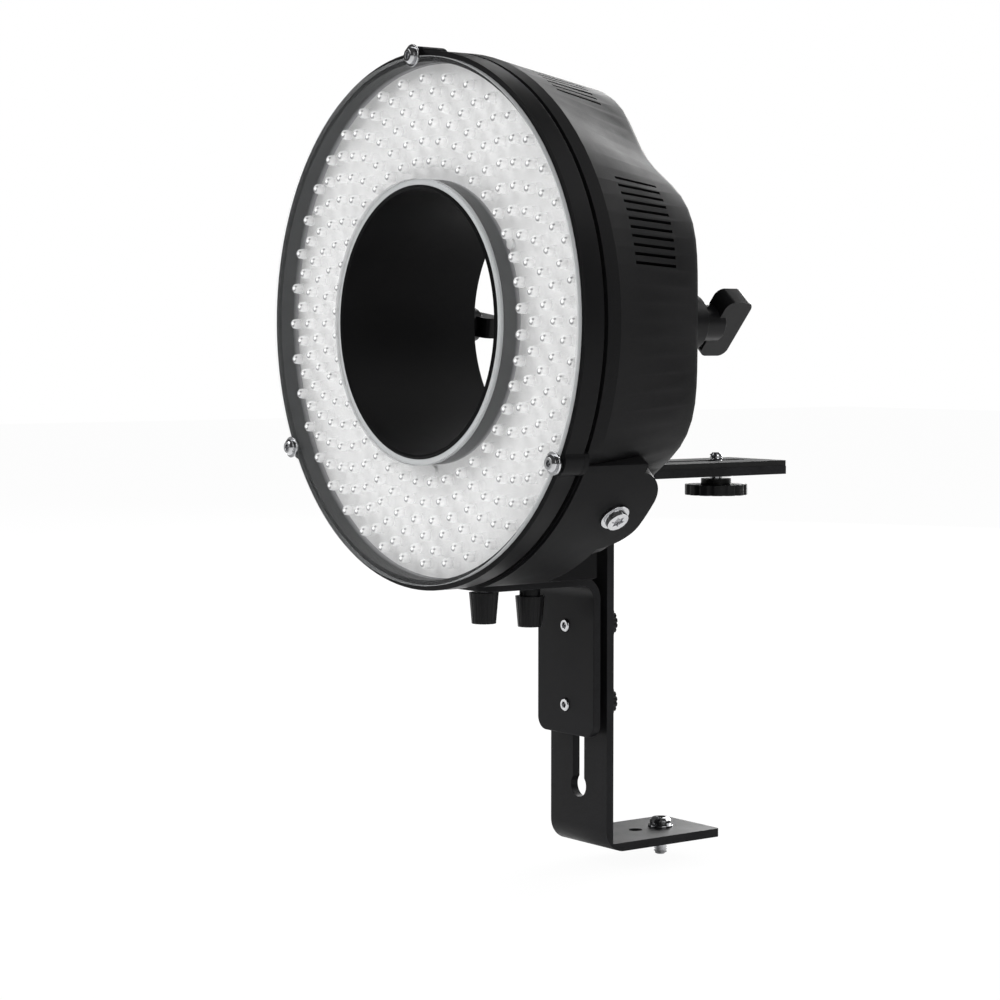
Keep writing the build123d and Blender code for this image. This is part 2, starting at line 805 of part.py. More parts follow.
with BuildPart() as lamps:
    with BuildSketch(facing(board_front)):
        for index, ring in enumerate(rings_in_rim):
            start = (index + 1) % 2 * 180 / lamps_per_ring
            with PolarLocations(ring, lamps_per_ring, start_angle=start):
                RegularPolygon(lamp_radius, lamp_sides)
    extrude(amount=board_front - lamp_tip)
save(lamps.part, "lamps")

with BuildPart() as heat_spreader:
    with BuildSketch(facing(board_back)):
        Circle(bore_wall_radius - shell - ease)
        Circle(sleeve_outside, mode=Mode.SUBTRACT)
        with Locations(*[polar(post_circle, angle) for angle in post_angles]):
            Circle(board_screw_radius + ease, mode=Mode.SUBTRACT)
    extrude(amount=-spreader_thickness)
save(heat_spreader.part, "heat_spreader")

with BuildPart() as board_posts:
    with BuildSketch(facing(board_back + spreader_thickness)):
        with Locations(*[polar(post_circle, angle) for angle in post_angles]):
            Circle(post_radius)
    extrude(amount=board_back + spreader_thickness - rear_wall_inside)
    with BuildSketch(facing(board_back)):
        with Locations(*[polar(post_circle, angle) for angle in post_angles]):
            Circle(board_screw_radius)
    extrude(amount=-board_screw_length, mode=Mode.SUBTRACT)
save(board_posts.part, "board_posts")

with BuildPart() as board_screws:
    with BuildSketch(facing(board_front)):
        with Locations(*[polar(post_circle, angle) for angle in post_angles]):
            Circle(board_head_radius)
    extrude(amount=board_head_height)
    with BuildSketch(facing(board_front)):
        with Locations(*[polar(post_circle, angle) for angle in post_angles]):
            Circle(board_screw_radius)
    extrude(amount=-board_thickness - board_screw_length)
save(board_screws.part, "board_screws")

# Driver board on its posts behind the lamp board
with BuildPart() as driver_board:
    with BuildSketch(facing(driver_depth, up=driver_middle)):
        Rectangle(driver_width, driver_height)
        with GridLocations(driver_width - 2 * driver_margin, driver_height - 2 * driver_margin, 2, 2):
            Circle(board_screw_radius, mode=Mode.SUBTRACT)
    extrude(amount=-board_thickness)
save(driver_board.part, "driver_board")

with BuildPart() as driver_posts:
    with BuildSketch(facing(driver_depth + board_thickness, up=driver_middle)):
        with GridLocations(driver_width - 2 * driver_margin, driver_height - 2 * driver_margin, 2, 2):
            Circle(post_radius)
    extrude(amount=driver_depth + board_thickness - rear_wall_inside)
    with BuildSketch(facing(driver_depth, up=driver_middle)):
        with GridLocations(driver_width - 2 * driver_margin, driver_height - 2 * driver_margin, 2, 2):
            Circle(board_screw_radius)
    extrude(amount=-board_thickness)
save(driver_posts.part, "driver_posts")

with BuildPart() as driver_components:
    with BuildSketch(facing(driver_depth, up=driver_middle)):
        Rectangle(choke_width, choke_width)
    extrude(amount=choke_height)
    with BuildSketch(facing(driver_depth, up=driver_middle)):
        with GridLocations(driver_width / 2, 1, 2, 1):
            Circle(capacitor_radius)
    extrude(amount=capacitor_height)
save(driver_components.part, "driver_components")

# Dimmer: knob outside the rear wall, shaft and body inside it
with BuildPart() as dimmer_body:
    dial_place = polar(control_circle, dial_angle)
    with BuildSketch(facing(rear_wall_inside, *dial_place)):
        Circle(pot_radius)
    extrude(amount=pot_length)
    with BuildSketch(facing(rear_wall_inside, *dial_place)):
        Circle(shaft_radius)
    extrude(amount=-shell - dial_height / 2)
save(dimmer_body.part, "dimmer_body")

with BuildPart() as dimmer_knob:
    with BuildSketch(facing(head_depth + fit, *dial_place)):
        fluted(dial_radius, dial_flutes, knob_flute)
    extrude(amount=-dial_height)
    with BuildSketch(facing(head_depth + fit + dial_height, *dial_place)):
        with Locations((0, dial_radius / 2)):
            Rectangle(dial_mark, dial_radius)
    extrude(amount=dial_mark, mode=Mode.SUBTRACT)
    with BuildSketch(facing(head_depth, *dial_place)):
        Circle(shaft_radius + fit)
    extrude(amount=-dial_height / 2 - fit, mode=Mode.SUBTRACT)
save(dimmer_knob.part, "dimmer_knob")

# Power switch: frame clipped in the wall, rocker between its cheeks
with BuildPart() as rocker_frame:
    rocker_place = polar(control_circle, rocker_angle)
    with BuildSketch(facing(head_depth, *rocker_place)):
        Rectangle(rocker_width + 2 * rocker_bezel, rocker_height + 2 * rocker_bezel)
    extrude(amount=-rocker_bezel)
    with BuildSketch(facing(head_depth, *rocker_place)):
        Rectangle(rocker_width - 2 * fit, rocker_height - 2 * fit)
    extrude(amount=rocker_body)
    with BuildSketch(facing(head_depth + rocker_bezel, *rocker_place)):
        Rectangle(rocker_width - 2 * rocker_bezel, rocker_height - 2 * rocker_bezel)
    extrude(amount=rocker_bezel + rocker_body / 2, mode=Mode.SUBTRACT)
save(rocker_frame.part, "rocker_frame")

with BuildPart() as power_rocker:
    across = rocker_place[0] - (rocker_width / 2 - rocker_bezel - ease)
    with BuildSketch(Plane.YZ.offset(across)):
        with Locations((head_depth - face_setback, axis_height + rocker_place[1])):
            Rectangle(rocker_tall, rocker_height - 2 * rocker_bezel - rocker_play)
        with Locations((head_depth - face_setback + rocker_height, axis_height + rocker_place[1])):
            Circle(rocker_height - rocker_dish, mode=Mode.SUBTRACT)
    extrude(amount=rocker_width - 2 * rocker_bezel - 2 * ease)
save(power_rocker.part, "power_rocker")

# Power inlet: a barrel socket with its flange and centre pin
with BuildPart() as power_inlet:
    inlet_place = polar(control_circle, inlet_angle)
    with BuildSketch(facing(head_depth, *inlet_place)):
        Circle(inlet_flange)
    extrude(amount=-rocker_bezel)
    with BuildSketch(facing(head_depth, *inlet_place)):
        Circle(inlet_radius)
    extrude(amount=inlet_length)
    with BuildSketch(facing(head_depth + rocker_bezel, *inlet_place)):
        Circle(inlet_bore)
        Circle(inlet_pin, mode=Mode.SUBTRACT)
    extrude(amount=inlet_length, mode=Mode.SUBTRACT)
save(power_inlet.part, "power_inlet")


def wing_stud(side):
    """Steel stud of one wing screw."""
    with BuildPart() as stud:
        with BuildSketch(facing(wing_front, side * wing_offset)):
            Circle(stud_radius)
        extrude(amount=wing_front - head_depth + wing_insert_length)
        chamfer(stud.faces().sort_by(Axis.Y)[0].edges(), stud_radius / 4)
    return stud.part


def wing_screw(side, tilt):
    """Moulded wing screw: skirt, cone, hub and a flat two-ended wing."""
    with BuildPart() as wing:
        with BuildSketch(facing(head_depth + fit, side * wing_offset)):
            Circle(wing_skirt_radius)
        extrude(amount=-wing_skirt)
        with BuildSketch(facing(head_depth + fit + wing_skirt, side * wing_offset)):
            Circle(wing_skirt_radius)
        with BuildSketch(facing(head_depth + fit + wing_skirt + wing_cone, side * wing_offset)):
            Circle(wing_hub_radius)
        loft()
        with BuildSketch(facing(head_depth + fit + wing_skirt, side * wing_offset)):
            Circle(wing_hub_radius)
        extrude(amount=head_depth + wing_skirt - wing_hub_back)
        chamfer(wing.faces().sort_by(Axis.Y)[-1].edges(), knob_flute)
        along = polar(1, 90 + tilt)
        middle = (side * wing_offset, (wing_front + wing_back) / 2 - face_setback, axis_height)
        flat = Plane(middle, x_dir=(along[0], 0, along[1]), z_dir=(along[1], 0, -along[0]))
        with BuildSketch(flat):
            RectangleRounded(2 * wing_half_length, wing_back - wing_front, wing_corner)
        extrude(amount=wing_thickness / 2, both=True)
        with BuildSketch(facing(head_depth, side * wing_offset)):
            Circle(stud_radius)
        extrude(amount=head_depth - wing_front, mode=Mode.SUBTRACT)
    return wing.part


save(wing_stud(-1), "wing_stud_left")
save(wing_stud(1), "wing_stud_right")
save(wing_screw(-1, wing_tilt_left), "wing_screw_left")
save(wing_screw(1, -wing_tilt), "wing_screw_right")
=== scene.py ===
import json
import math

import bmesh
import bpy
from mathutils import Matrix, Vector


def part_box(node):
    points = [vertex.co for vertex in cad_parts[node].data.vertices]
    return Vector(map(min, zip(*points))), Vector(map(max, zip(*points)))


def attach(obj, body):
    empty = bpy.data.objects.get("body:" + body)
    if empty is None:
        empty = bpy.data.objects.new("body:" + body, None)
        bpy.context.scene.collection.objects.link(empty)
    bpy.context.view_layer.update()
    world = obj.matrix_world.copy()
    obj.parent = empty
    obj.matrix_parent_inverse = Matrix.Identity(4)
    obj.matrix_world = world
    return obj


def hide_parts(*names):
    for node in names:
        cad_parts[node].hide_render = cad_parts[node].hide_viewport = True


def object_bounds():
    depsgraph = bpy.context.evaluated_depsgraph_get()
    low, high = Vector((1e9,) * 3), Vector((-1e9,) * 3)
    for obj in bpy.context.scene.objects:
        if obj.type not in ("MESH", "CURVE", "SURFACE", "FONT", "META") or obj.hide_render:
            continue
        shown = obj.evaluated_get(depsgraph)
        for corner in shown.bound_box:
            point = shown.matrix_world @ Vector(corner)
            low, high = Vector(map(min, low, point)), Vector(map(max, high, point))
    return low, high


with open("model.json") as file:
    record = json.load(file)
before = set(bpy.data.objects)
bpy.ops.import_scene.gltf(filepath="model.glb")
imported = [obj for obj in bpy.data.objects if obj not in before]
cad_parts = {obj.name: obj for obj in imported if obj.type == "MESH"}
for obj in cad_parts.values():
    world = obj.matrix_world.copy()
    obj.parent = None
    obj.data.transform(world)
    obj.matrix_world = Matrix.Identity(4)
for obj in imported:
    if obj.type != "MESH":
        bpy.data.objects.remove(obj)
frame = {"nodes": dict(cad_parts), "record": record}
cad_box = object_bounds()

# View of the light from the front, 53 degrees round to the right and a little above the ring's axis,
# on a long lens. Distances are metres in the frame of the part, whose front is towards -Y.
camera_data = bpy.data.cameras.new("view")
camera_data.sensor_width = 36.0
camera_data.lens = 91.9
camera_data.clip_end = 50.0
camera = bpy.data.objects.new("view", camera_data)
azimuth, elevation = math.radians(53.35), math.radians(3.55)
ahead = Vector((-math.sin(azimuth) * math.cos(elevation), math.cos(azimuth) * math.cos(elevation),
                -math.sin(elevation)))
camera.location = (0.9173, -0.7774, 0.2335)
camera.rotation_euler = ahead.to_track_quat("-Z", "Y").to_euler()
bpy.context.scene.collection.objects.link(camera)
bpy.context.scene.camera = camera
bpy.context.scene.view_settings.view_transform = "Standard"

# Studio: white surroundings that light the object evenly, and dimmer where plastic and chrome mirror
# them. Four large soft lamps give the plastic its broad sheen and the chrome its contrast, and the
# object stands on pale paper that the camera sees as nearly plain white.
mm = 0.001
room_level = 0.6
mirrored_level = 0.15
lamp_aim = Vector((0.0, -0.05, 0.2))
# name, place, width and power in watts
studio_lamps = (("front lamp", (-0.9, -1.6, 1.3), 1.4, 24.0),
                ("side lamp", (1.9, -0.1, 0.9), 1.2, 13.0),
                ("rear lamp", (0.6, 1.7, 1.4), 1.2, 16.0),
                ("fill lamp", (-0.9, 1.7, 0.8), 1.4, 60.0))
paper_half_width = 6.0
paper_drop = 0.5 * mm
paper_glow = 0.95


def linear(code):
    """Linear colour with alpha from an sRGB hex value."""
    values = [int(code[i:i + 2], 16) / 255 for i in (1, 3, 5)]
    return [v / 12.92 if v <= 0.04045 else ((v + 0.055) / 1.055) ** 2.4 for v in values] + [1.0]


def add(tree, kind, settings=None, links=None):
    """Add one node, set its sockets and fields, and link its inputs."""
    node = tree.nodes.new("ShaderNode" + kind)
    for key, value in (settings or {}).items():
        if isinstance(key, int) or key in node.inputs:
            node.inputs[key].default_value = value
        else:
            setattr(node, key, value)
    for key, socket in (links or {}).items():
        tree.links.new(socket, node.inputs[key])
    return node


def empty_tree(owner):
    """Node tree of a new material or world, without the nodes that it starts with."""
    owner.use_nodes = True
    owner.node_tree.nodes.clear()
    return owner.node_tree


world = bpy.data.worlds.new("studio")
bpy.context.scene.world = world
tree = empty_tree(world)
path = add(tree, "LightPath")
seen = add(tree, "Math", {"operation": "MAXIMUM"}, {0: path.outputs["Is Camera Ray"],
                                                    1: path.outputs["Is Transmission Ray"]})
level = add(tree, "MapRange", {"To Min": room_level, "To Max": 1.0}, {"Value": seen.outputs[0]})
mirrored = add(tree, "MapRange", {"To Min": 1.0, "To Max": mirrored_level},
               {"Value": path.outputs["Is Glossy Ray"]})
level = add(tree, "Math", {"operation": "MULTIPLY"}, {0: level.outputs[0], 1: mirrored.outputs[0]})
back = add(tree, "Background", {"Color": linear("#ffffff")}, {"Strength": level.outputs[0]})
add(tree, "OutputWorld", links={"Surface": back.outputs[0]})

for name, place, size, power in studio_lamps:
    lamp = bpy.data.lights.new(name, "AREA")
    lamp.size = size
    lamp.energy = power
    lamp_object = bpy.data.objects.new(name, lamp)
    lamp_object.location = place
    lamp_object.rotation_euler = (lamp_aim - Vector(place)).to_track_quat("-Z", "Y").to_euler()
    bpy.context.scene.collection.objects.link(lamp_object)

mesh = bmesh.new()
bmesh.ops.create_grid(mesh, x_segments=1, y_segments=1, size=paper_half_width,
                      matrix=Matrix.Translation((0, 0, cad_box[0][2] - paper_drop)))
floor_mesh = bpy.data.meshes.new("floor")
mesh.to_mesh(floor_mesh)
mesh.free()
floor = bpy.data.objects.new("floor", floor_mesh)
bpy.context.scene.collection.objects.link(floor)
paper = bpy.data.materials.new("pale paper")
tree = empty_tree(paper)
path = add(tree, "LightPath")
matt = add(tree, "BsdfDiffuse", {"Color": linear("#f4f4f4")})
glow = add(tree, "Emission", {"Color": linear("#ffffff"), "Strength": 1.0})
share = add(tree, "MapRange", {"To Min": 0.0, "To Max": paper_glow},
            {"Value": path.outputs["Is Camera Ray"]})
both = add(tree, "MixShader", links={0: share.outputs[0], 1: matt.outputs[0], 2: glow.outputs[0]})
add(tree, "OutputMaterial", links={"Surface": both.outputs[0]})
floor_mesh.materials.append(paper)

# Brackets: 4 mm steel strip, bent cold and powder coated satin black. The coat is an orange-peel film
# about 0.08 mm thick, a little greyer and smoother where it has rubbed. The stand bracket carries the
# head and the camera, and the bent bracket holds the cradle to it.
welded = 0.001 * mm  # points nearer than this are one
cloud_width = 35.7 * mm  # broad uneven patches of colour and gloss


def finish(name, dark, light, grain, depth, roughness, specular=0.5, metallic=0.0):
    """Material with a grain so many millimetres wide and deep, which also breaks its colour."""
    material = bpy.data.materials.new(name)
    tree = empty_tree(material)
    place = add(tree, "TexCoord")
    fine = add(tree, "TexNoise", {"Scale": 1 / (grain * mm), "Detail": 3.0, "Roughness": 0.6},
               {"Vector": place.outputs["Object"]})
    broad = add(tree, "TexNoise", {"Scale": 1 / cloud_width, "Detail": 4.0, "Roughness": 0.65},
                {"Vector": place.outputs["Object"]})
    mix = add(tree, "Math", {"operation": "MULTIPLY"}, {0: fine.outputs[0], 1: broad.outputs[0]})
    tint = add(tree, "ValToRGB", links={"Fac": mix.outputs[0]})
    for stop, position, code in zip(tint.color_ramp.elements, (0.15, 0.42), (dark, light)):
        stop.position = position
        stop.color = linear(code)
    gloss = add(tree, "MapRange", {"From Min": 0.3, "From Max": 0.7, "To Min": roughness[0],
                                   "To Max": roughness[1]}, {"Value": broad.outputs[0]})
    bump = add(tree, "Bump", {"Strength": 1.0, "Distance": depth * mm}, {"Height": fine.outputs[0]})
    shader = add(tree, "BsdfPrincipled", {"Specular IOR Level": specular, "Metallic": metallic},
                 {"Base Color": tint.outputs[0], "Roughness": gloss.outputs[0],
                  "Normal": bump.outputs[0]})
    add(tree, "OutputMaterial", links={"Surface": shader.outputs[0]})
    return material


def copy_of(node):
    """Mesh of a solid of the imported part, with the corners of its facets welded."""
    mesh = bmesh.new()
    mesh.from_mesh(frame["nodes"][node].data)
    bmesh.ops.remove_doubles(mesh, verts=mesh.verts, dist=welded)
    return mesh


def show(mesh, name, node, material):
    """Turn a finished bmesh into a piece that stands for a node and moves with its body.

    A large flat face keeps its even shade, because its edges to much smaller faces stay sharp.
    """
    smooth_limit, flat_limit = math.radians(24), math.radians(10)
    flat_ratio = 30
    mesh.edges.index_update()
    beside_flats = []
    for edge in mesh.edges:
        areas = sorted(face.calc_area() for face in edge.link_faces)
        if len(areas) == 2 and edge.calc_face_angle(0) > flat_limit and areas[1] > flat_ratio * areas[0]:
            beside_flats.append(edge.index)
    data = bpy.data.meshes.new(name)
    mesh.to_mesh(data)
    mesh.free()
    data.shade_smooth()
    data.set_sharp_from_angle(angle=smooth_limit)
    for index in beside_flats:
        data.edges[index].use_edge_sharp = True
    data.materials.append(material)
    piece = bpy.data.objects.new(name, data)
    bpy.context.scene.collection.objects.link(piece)
    bodies = frame["record"]["behaviour"]["bodies"]
    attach(piece, next(body for body, members in bodies.items() if node in members))
    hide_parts(node)


def dressed(node, material, rounding=0.0, shape=None):
    """Copy of a solid, its sharp edges rounded in millimetres as they leave the press or mould."""
    facet_limit, sharp_limit = math.radians(0.5), math.radians(40)
    mesh = copy_of(node)
    bmesh.ops.dissolve_limit(mesh, angle_limit=facet_limit, verts=mesh.verts, edges=mesh.edges)
    if shape:
        shape(mesh)
    if rounding:
        sharp = [edge for edge in mesh.edges
                 if len(edge.link_faces) == 2 and edge.calc_face_angle(0) > sharp_limit]
        bmesh.ops.bevel(mesh, geom=sharp, offset=rounding * mm, offset_type="OFFSET", affect="EDGES",
                        segments=2, profile=0.5, material=-1, clamp_overlap=True)
    show(mesh, node + "_finished", node, material)


powder_coat = finish("satin powder coat", "#0b0b0c", "#19191b", grain=0.5, depth=0.012,
                     roughness=(0.36, 0.5), specular=0.09)
dressed("stand_bracket", powder_coat, rounding=0.35)
dressed("l_bracket", powder_coat, rounding=0.35)

# Camera pad: a sheet of black nitrile rubber, cut to the plate and glued on it. It is matt, with the
# fine cloth-like print of the press.
rubber = finish("nitrile rubber", "#090909", "#171717", grain=0.7, depth=0.03, roughness=(0.75, 0.88),
                specular=0.2)
dressed("camera_pad", rubber, rounding=0.2)

# Screws, washers and the dimmer's can: steel, turned or cold headed, then chrome or zinc plated, or
# powder coated as the brackets are. The plating mirrors the room, a little clouded by handling marks.
# The camera screw and the stand screw have a rolled quarter-inch thread of 20 turns to the inch.
thread_radius = 3.17  # these sizes are in millimetres, as the rod is until it is placed
thread_pitch = 1.27
thread_depth = 0.6
thread_steps = 20  # for each turn
chamfer_height = 1.0
chamfer_slope = 0.3  # share of the radius lost over each millimetre


def everything(mesh):
    """All vertices, edges and faces of a bmesh."""
    return list(mesh.verts) + list(mesh.edges) + list(mesh.faces)


def rolled_thread(length):
    """Closed threaded rod in millimetres, from the origin up to its chamfered tip."""
    rod = bmesh.new()
    turns = math.ceil(length / thread_pitch) + 1
    root = thread_radius - thread_depth
    ridge = [rod.verts.new((reach, 0, rise)) for reach, rise in
             ((root, -thread_pitch), (thread_radius, -thread_pitch / 2), (root, 0))]
    edges = [rod.edges.new(pair) for pair in zip(ridge, ridge[1:])]
    bmesh.ops.spin(rod, geom=ridge + edges, cent=(0, 0, 0), axis=(0, 0, 1),
                   dvec=(0, 0, thread_pitch / thread_steps), angle=turns * math.tau,
                   steps=turns * thread_steps, use_duplicate=False)
    bmesh.ops.remove_doubles(rod, verts=rod.verts, dist=0.01)
    for height, side in ((0, -1), (length, 1)):
        bmesh.ops.bisect_plane(rod, geom=everything(rod), clear_outer=True,
                               plane_co=(0, 0, height), plane_no=(0, 0, side), dist=0.001)
    bmesh.ops.holes_fill(rod, edges=[edge for edge in rod.edges if edge.is_boundary])
    for vert in rod.verts:
        vert.co.xy = vert.co.xy * (1 - chamfer_slope * max(0, vert.co.z - length + chamfer_height))
    bmesh.ops.recalc_face_normals(rod, faces=rod.faces)
    return rod


def threaded(node, cut, direction, material):
    """Copy of a screw, threaded from a height in metres to its tip, which points up (1) or down (-1)."""
    low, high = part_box(node)
    mesh = copy_of(node)
    bmesh.ops.bisect_plane(mesh, geom=everything(mesh), clear_outer=True,
                           plane_co=(0, 0, cut), plane_no=(0, 0, direction), dist=welded)
    bmesh.ops.holes_fill(mesh, edges=[edge for edge in mesh.edges if edge.is_boundary])
    tip = high[2] if direction > 0 else low[2]
    thread = rolled_thread(abs(tip - cut) / mm)
    turned = Matrix.Rotation(0 if direction > 0 else math.pi, 4, "X")
    start = Matrix.Translation(((low[0] + high[0]) / 2, (low[1] + high[1]) / 2, cut))
    thread.transform(start @ turned @ Matrix.Scale(mm, 4))
    cast = bpy.data.meshes.new(node + "_thread")
    thread.to_mesh(cast)
    thread.free()
    mesh.from_mesh(cast)
    bpy.data.meshes.remove(cast)
    show(mesh, node + "_threaded", node, material)


chrome = finish("bright chrome plate", "#a9aaac", "#c4c4c6", grain=0.3, depth=0.001,
                roughness=(0.06, 0.16), metallic=1.0)
zinc = finish("zinc plated steel", "#8d8e90", "#b0b1b3", grain=0.3, depth=0.002,
              roughness=(0.25, 0.4), metallic=1.0)
pad_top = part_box("camera_pad")[1][2]
foot_bottom = 0.0
threaded("camera_stud", pad_top, 1, chrome)
threaded("stand_screw", foot_bottom, -1, chrome)
for node in ("stand_washer", "camera_slide_washer", "base_stud_front", "base_stud_rear",
             "clamp_stud_upper", "clamp_stud_lower", "face_washers", "face_screws", "cradle_bolts"):
    dressed(node, chrome, rounding=0.12)
for node in ("clamp_spacers", "clamp_washers", "dimmer_body", "wing_stud_left", "wing_stud_right"):
    dressed(node, zinc)
dressed("base_washers", powder_coat, rounding=0.1)

# Knobs, wing screws and power rocker: glass-filled nylon, moulded on the studs with softened flutes.
# It is satin black, with the faint mottling that the glass fibres give the skin.
nylon = finish("moulded nylon", "#0a0a0b", "#151516", grain=0.5, depth=0.01, roughness=(0.3, 0.42),
               specular=0.12)
for node in ("base_knob_front", "base_knob_rear", "clamp_knob_upper", "clamp_knob_lower", "camera_knob",
             "dimmer_knob", "power_rocker"):
    dressed(node, nylon)
for node in ("wing_screw_left", "wing_screw_right"):
    dressed(node, nylon, rounding=0.8)

# Housing, cradle, bore tube and the frames of the switch and the inlet: ABS moulded with a fine
# spark-eroded texture, which leaves the black soft and even. The screw bosses stand out from the rim
# by little more than the screw heads.
ring_height = sum(corner[2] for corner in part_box("bore_tube")) / 2
bezel_low, bezel_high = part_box("front_bezel")
rim_reach = (bezel_high[0] - bezel_low[0]) / 2
boss_cut = 0.38  # share taken off what a boss stands out from the rim


def low_bosses(mesh):
    """Draw the screw bosses of a ring in towards its axis."""
    for vert in mesh.verts:
        reach = math.hypot(vert.co.x, vert.co.z - ring_height)
        if reach > rim_reach:
            scale = 1 - boss_cut * (reach - rim_reach) / reach
            vert.co = (vert.co.x * scale, vert.co.y, ring_height + (vert.co.z - ring_height) * scale)


abs_black = finish("textured black abs", "#09090a", "#111112", grain=0.6, depth=0.02,
                   roughness=(0.48, 0.6), specular=0.07)
dressed("rear_housing", abs_black, shape=low_bosses)
dressed("base_cradle", abs_black, rounding=0.5)
dressed("bore_tube", abs_black)
dressed("rocker_frame", abs_black, rounding=0.2)
dressed("power_inlet", abs_black, rounding=0.2)

# Bezel: polished black ABS ring screwed on the housing, glossier than it, with faint flow marks.
# Its inner wall takes the light of the white board, drawn as a pale band beside the board.
board_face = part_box("lamp_board")[0][1]
plate_low, plate_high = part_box("face_plate")
plate_reach = (plate_high[0] - plate_low[0]) / 2
board_light = "#a0a0a2"
bezel_band = 2.8 * mm


def axis_distance(tree, place, height):
    """Distance of each point from an axis along Y at a height."""
    flat = add(tree, "Mapping", {"Location": (0.0, 0.0, -height), "Scale": (1.0, 0.0, 1.0)},
               {"Vector": place.outputs["Object"]})
    return add(tree, "VectorMath", {"operation": "LENGTH"}, {0: flat.outputs[0]}).outputs["Value"]


def fade(material, start, end, code):
    """Painted light: turn a material to a colour between two places along Y, within the face plate's
    reach.
    """
    tree = material.node_tree
    place = add(tree, "TexCoord")
    along = add(tree, "SeparateXYZ", links={"Vector": place.outputs["Object"]})
    share = add(tree, "MapRange", {"From Min": start, "From Max": end}, {"Value": along.outputs["Y"]})
    inside = add(tree, "Math", {"operation": "LESS_THAN", 1: plate_reach},
                 {0: axis_distance(tree, place, ring_height)})
    share = add(tree, "Math", {"operation": "MULTIPLY"}, {0: share.outputs[0], 1: inside.outputs[0]})
    shader = next(node for node in tree.nodes if node.type == "BSDF_PRINCIPLED")
    colour = shader.inputs["Base Color"]
    blend = add(tree, "Mix", {"data_type": "RGBA", 7: linear(code)},
                {0: share.outputs[0], 6: colour.links[0].from_socket})
    tree.links.new(blend.outputs[2], colour)


bezel_abs = finish("polished black abs", "#0c0c0d", "#0e0e0f", grain=1.2, depth=0.002,
                   roughness=(0.34, 0.46), specular=0.07)
# painted light of the white board on the inner wall, beside the board
fade(bezel_abs, board_face - bezel_band, board_face, board_light)
dressed("front_bezel", bezel_abs, rounding=0.4, shape=low_bosses)

# Sleeve ring: grey ABS collar that closes the inner edge of the lamp field, semi-gloss from the mould.
# Its front face has a painted highlight, pale where it shows round the bore. The side in the lamp field
# is dark, and painted pale beside the board with the light of the white board.
sleeve_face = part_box("sleeve_ring")[0][1]
painted_highlight_depth, dark_depth = 0.2 * mm, 0.4 * mm  # behind the front face
sleeve_band = 2.2 * mm
grey_abs = finish("grey abs", "#242425", "#2a2a2b", grain=4.0, depth=0.002, roughness=(0.34, 0.42),
                  specular=0.2)
# painted highlight on the front face round the bore
fade(grey_abs, sleeve_face + dark_depth, sleeve_face + painted_highlight_depth, "#b4b6b7")
# painted light of the white board on the side beside the board
fade(grey_abs, board_face - sleeve_band, board_face, board_light)
dressed("sleeve_ring", grey_abs, rounding=0.15)

# Lamp board: glass-epoxy board under glossy white solder mask, which throws the light of the lamps
# forward. The heads of the screws that hold it have the same white.
mask = finish("white solder mask", "#dcdcdc", "#e9e9e9", grain=1.0, depth=0.01, roughness=(0.3, 0.4))
dressed("lamp_board", mask)
dressed("board_screws", mask)

# Lamps: 5 mm water-clear epoxy cast on a lead frame, with a collar at the foot and a domed lens, set
# in rings on the board. The clear body is drawn white, more opaque towards the lens and with a faint
# glow, all painted light that the epoxy gathers from the board. At its tip the lens carries three soft
# round marks: a painted highlight, and painted shade round and beside it where the dark cup and its
# wall show through.
lamp_rings = (70.0, 78.7, 86.7, 93.3, 100.0, 105.7)  # radii in millimetres
lamps_per_ring = 40
lens_sides = 10
# radius and height over the board in millimetres, from the foot to the tip of the lens
lamp_profile = ((2.85, 0.0), (2.85, 1.0), (2.45, 1.0), (2.45, 5.3), (2.1, 6.7), (1.2, 7.6), (0.0, 7.9))
lens_map_width = 10.0  # millimetres across the whole map
mark_softness = 0.4
lens_height, foot_height = 7.0 * mm, 1.0 * mm  # over the board
lens_opacity, foot_opacity, mark_opacity = 0.5, 0.06, 0.8
painted_lens_glow = 0.16


def mark(tree, lens, across, up, radius):
    """Soft round mark on the lens, placed in millimetres from its axis: 1 inside it and 0 outside."""
    middle = (0.5 + across / lens_map_width, 0.5 + up / lens_map_width, 0.0)
    distance = add(tree, "VectorMath", {"operation": "DISTANCE", 1: middle}, {0: lens.outputs[0]})
    return add(tree, "MapRange", {"From Min": radius / lens_map_width,
                                  "From Max": (radius + mark_softness) / lens_map_width,
                                  "To Min": 1.0, "To Max": 0.0}, {"Value": distance.outputs["Value"]})


epoxy = bpy.data.materials.new("clear lamp epoxy")
tree = empty_tree(epoxy)
lens = add(tree, "UVMap", {"uv_map": "lens"})
# painted highlight at the tip of the lens, and painted shade round and beside it
painted_glint = mark(tree, lens, across=0.55, up=0.15, radius=0.55)
painted_shade_blot = mark(tree, lens, across=0.2, up=-0.25, radius=1.1)
painted_shade_arc = mark(tree, lens, across=1.25, up=0.9, radius=0.35)
shade = add(tree, "Math", {"operation": "MAXIMUM"}, {0: painted_shade_blot.outputs[0], 1: painted_shade_arc.outputs[0]})
dark = add(tree, "Math", {"operation": "SUBTRACT", "use_clamp": True},
           {0: shade.outputs[0], 1: painted_glint.outputs[0]})
drawn = add(tree, "Math", {"operation": "MAXIMUM"}, {0: shade.outputs[0], 1: painted_glint.outputs[0]})
# white body, and painted shade of #808082 under the dark marks
tint = add(tree, "ValToRGB", links={"Fac": dark.outputs[0]})
tint.color_ramp.elements[0].color = linear("#ffffff")
tint.color_ramp.elements[1].color = linear("#808082")
place = add(tree, "TexCoord")
along = add(tree, "SeparateXYZ", links={"Vector": place.outputs["Object"]})
